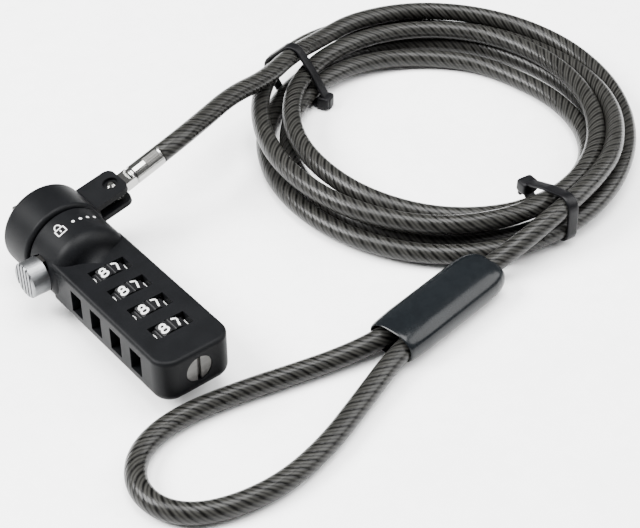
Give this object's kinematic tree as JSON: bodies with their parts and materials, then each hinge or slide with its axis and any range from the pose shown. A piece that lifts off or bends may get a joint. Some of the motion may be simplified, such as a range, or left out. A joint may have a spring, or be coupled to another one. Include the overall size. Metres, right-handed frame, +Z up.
{
  "type": "laptop cable lock",
  "caption": "Combination cable lock with number wheels, push button, swivelling clevis collar, T-bar nose and a tied coil of steel cable that ends in a crimped loop.",
  "frame": {"origin": "centre of the nose's seat face, on the lock's axis", "axes": "+Y out of the nose along the lock's axis, +Z up from the face with the windows, +X towards the clevis and the cable at rest"},
  "size_m": [0.1743, 0.1184, 0.02],
  "materials": {
    "case_black": "fine-textured matte black paint on die-cast zinc",
    "pad_rubber": "soft black rubber",
    "bright_steel": "polished steel",
    "satin_steel": "satin nickel-plated steel",
    "satin_aluminium": "satin turned aluminium",
    "satin_brass": "turned brass",
    "spring_steel": "spring wire and strip",
    "wheel_plastic": "black moulded wheels with white printed digits",
    "cable_jacket": "smoke-clear vinyl over twisted steel strands",
    "sleeve_plastic": "glossy blue-black moulded sleeve",
    "tie_nylon": "black nylon"
  },
  "bodies": {
    "cable": {"cable_ferrule": "bright_steel", "cable_lead": "cable_jacket", "cable_coil": "cable_jacket", "cable_loop": "cable_jacket", "loop_crimp": "satin_aluminium", "loop_sleeve": "sleeve_plastic", "cable_tie_left": "tie_nylon", "cable_tie_right": "tie_nylon"},
    "collar": {"swivel_collar": "case_black", "clevis_rivet": "bright_steel"},
    "case": {"dial_case": "case_black", "back_cover": "case_black", "nose_cap": "case_black", "nose_pad": "pad_rubber", "spindle": "satin_steel", "spindle_spring": "spring_steel", "detent_spring": "spring_steel", "button_spring": "spring_steel"},
    "rotor": {"t_bar": "bright_steel", "crank_disc": "bright_steel", "crank_pin": "bright_steel"},
    "button": {"push_button": "satin_aluminium", "button_slide": "satin_steel"},
    "reset": {"reset_screw": "satin_steel", "reset_clip": "satin_steel"},
    "dial_1": {"dial_wheel_1": "wheel_plastic", "code_sleeve_1": "satin_brass"},
    "dial_2": {"dial_wheel_2": "wheel_plastic", "code_sleeve_2": "satin_brass"},
    "dial_3": {"dial_wheel_3": "wheel_plastic", "code_sleeve_3": "satin_brass"},
    "dial_4": {"dial_wheel_4": "wheel_plastic", "code_sleeve_4": "satin_brass"}
  },
  "joints": [
    {"name": "cable_hinge", "type": "hinge", "parent": "cable", "child": "collar", "pos_m": [0.01598, -0.0069, 0.00346], "axis": [-0.2113, 0, 0.9774], "range_deg": [-70, 0]},
    {"name": "collar_swivel", "type": "hinge", "parent": "collar", "child": "case", "pos_m": [0, -0.0078, 0], "axis": [0, 1, 0], "continuous": true},
    {"name": "button_press", "type": "slide", "parent": "case", "child": "button", "axis": [1, 0, 0], "range_m": [0, 0.0032], "stiffness_N_per_m": 400, "springref_m": -0.001, "deforming": ["button_spring"]},
    {"name": "t_bar_turn", "type": "hinge", "parent": "case", "child": "rotor", "pos_m": [0, -0.0158, 0], "axis": [0, 1, 0], "range_deg": [0, 90]},
    {"name": "reset_turn", "type": "hinge", "parent": "case", "child": "reset", "pos_m": [0, -0.0618, -0.0001], "axis": [0, 1, 0], "range_deg": [0, 90], "deforming": ["spindle_spring"]},
    {"name": "dial_1_turn", "type": "hinge", "parent": "case", "child": "dial_1", "pos_m": [0, -0.0305, -0.0001], "axis": [0, 1, 0], "continuous": true, "deforming": ["detent_spring"]},
    {"name": "dial_2_turn", "type": "hinge", "parent": "case", "child": "dial_2", "pos_m": [0, -0.0378, -0.0001], "axis": [0, 1, 0], "continuous": true, "deforming": ["detent_spring"]},
    {"name": "dial_3_turn", "type": "hinge", "parent": "case", "child": "dial_3", "pos_m": [0, -0.0451, -0.0001], "axis": [0, 1, 0], "continuous": true, "deforming": ["detent_spring"]},
    {"name": "dial_4_turn", "type": "hinge", "parent": "case", "child": "dial_4", "pos_m": [0, -0.0524, -0.0001], "axis": [0, 1, 0], "continuous": true, "deforming": ["detent_spring"]}
  ],
  "couplings": [
    {"joint": "t_bar_turn", "follows": "button_press", "rad_per_m": 490.87}
  ]
}
